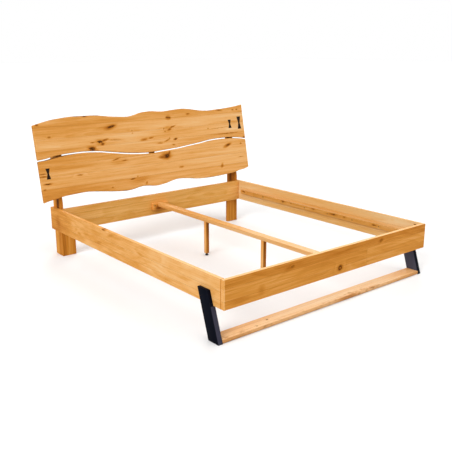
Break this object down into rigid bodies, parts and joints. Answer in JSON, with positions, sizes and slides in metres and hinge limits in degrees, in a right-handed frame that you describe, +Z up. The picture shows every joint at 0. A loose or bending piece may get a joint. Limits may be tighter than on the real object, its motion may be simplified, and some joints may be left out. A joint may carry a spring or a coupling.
{
  "type": "solid wood bed",
  "caption": "Low solid wood double bed frame with a leaning live-edge plank headboard, plain board rails, slat ledgers, a middle beam and raked black steel foot legs.",
  "frame": {"origin": "on the floor, under the middle of the overall box", "axes": "+X across the bed, towards the right as seen from the foot; +Y from the foot to the head; +Z up"},
  "size_m": [2.078, 2.2028, 1.0869],
  "materials": {
    "headboard_wood": "oiled, live edges",
    "frame_wood": "oiled, glued lamellas",
    "inner_wood": "oiled",
    "dark_inlay": "stained black",
    "black_steel": "matt powder coat",
    "zinc_hardware": "zinc plated",
    "black_plastic": "matt"
  },
  "bodies": {
    "bed_frame": {"headboard_plank_upper": "headboard_wood", "headboard_plank_lower": "headboard_wood", "key_lower_left": "dark_inlay", "key_upper_right": "dark_inlay", "key_upper_right_small": "dark_inlay", "batten_left": "inner_wood", "batten_center": "inner_wood", "batten_right": "inner_wood", "upright_left": "frame_wood", "upright_right": "frame_wood", "leg_board_left": "frame_wood", "leg_board_right": "frame_wood", "head_rail": "frame_wood", "side_rail_left": "frame_wood", "side_rail_right": "frame_wood", "foot_board": "frame_wood", "ledger_left": "inner_wood", "ledger_right": "inner_wood", "beam_bracket_head": "inner_wood", "beam_bracket_foot": "inner_wood", "center_beam": "inner_wood", "center_leg_head": "inner_wood", "center_leg_foot": "inner_wood", "crossbar": "frame_wood", "foot_leg_left": "black_steel", "foot_leg_right": "black_steel", "foot_leg_plug_left": "black_plastic", "foot_leg_plug_right": "black_plastic", "glide_insert_head": "zinc_hardware", "glide_insert_foot": "zinc_hardware", "beam_stud_head": "zinc_hardware", "beam_stud_foot": "zinc_hardware", "corner_angle_left": "zinc_hardware", "corner_angle_right": "zinc_hardware", "side_rail_bolt_left_lower": "zinc_hardware", "side_rail_bolt_left_upper": "zinc_hardware", "side_rail_bolt_right_lower": "zinc_hardware", "side_rail_bolt_right_upper": "zinc_hardware", "head_rail_bolt_left_lower": "zinc_hardware", "head_rail_bolt_left_upper": "zinc_hardware", "head_rail_bolt_right_lower": "zinc_hardware", "head_rail_bolt_right_upper": "zinc_hardware", "headboard_bolt_left_lower": "zinc_hardware", "headboard_bolt_left_upper": "zinc_hardware", "headboard_bolt_right_lower": "zinc_hardware", "headboard_bolt_right_upper": "zinc_hardware", "foot_leg_bolt_left_front": "zinc_hardware", "foot_leg_bolt_left_back": "zinc_hardware", "foot_leg_bolt_right_front": "zinc_hardware", "foot_leg_bolt_right_back": "zinc_hardware", "corner_bolt_rail_left": "zinc_hardware", "corner_bolt_rail_right": "zinc_hardware", "corner_bolt_board_left": "zinc_hardware", "corner_bolt_board_right": "zinc_hardware", "crossbar_screw_left": "zinc_hardware", "crossbar_screw_right": "zinc_hardware", "beam_screw_head": "zinc_hardware", "beam_screw_foot": "zinc_hardware"},
    "glide_head": {"glide_head": "black_plastic"},
    "glide_foot": {"glide_foot": "black_plastic"}
  },
  "joints": [
    {"name": "glide_head_height", "type": "slide", "parent": "bed_frame", "child": "glide_head", "axis": [0, 0, -1], "range_m": [0, 0.012]},
    {"name": "glide_foot_height", "type": "slide", "parent": "bed_frame", "child": "glide_foot", "axis": [0, 0, -1], "range_m": [0, 0.012]}
  ]
}
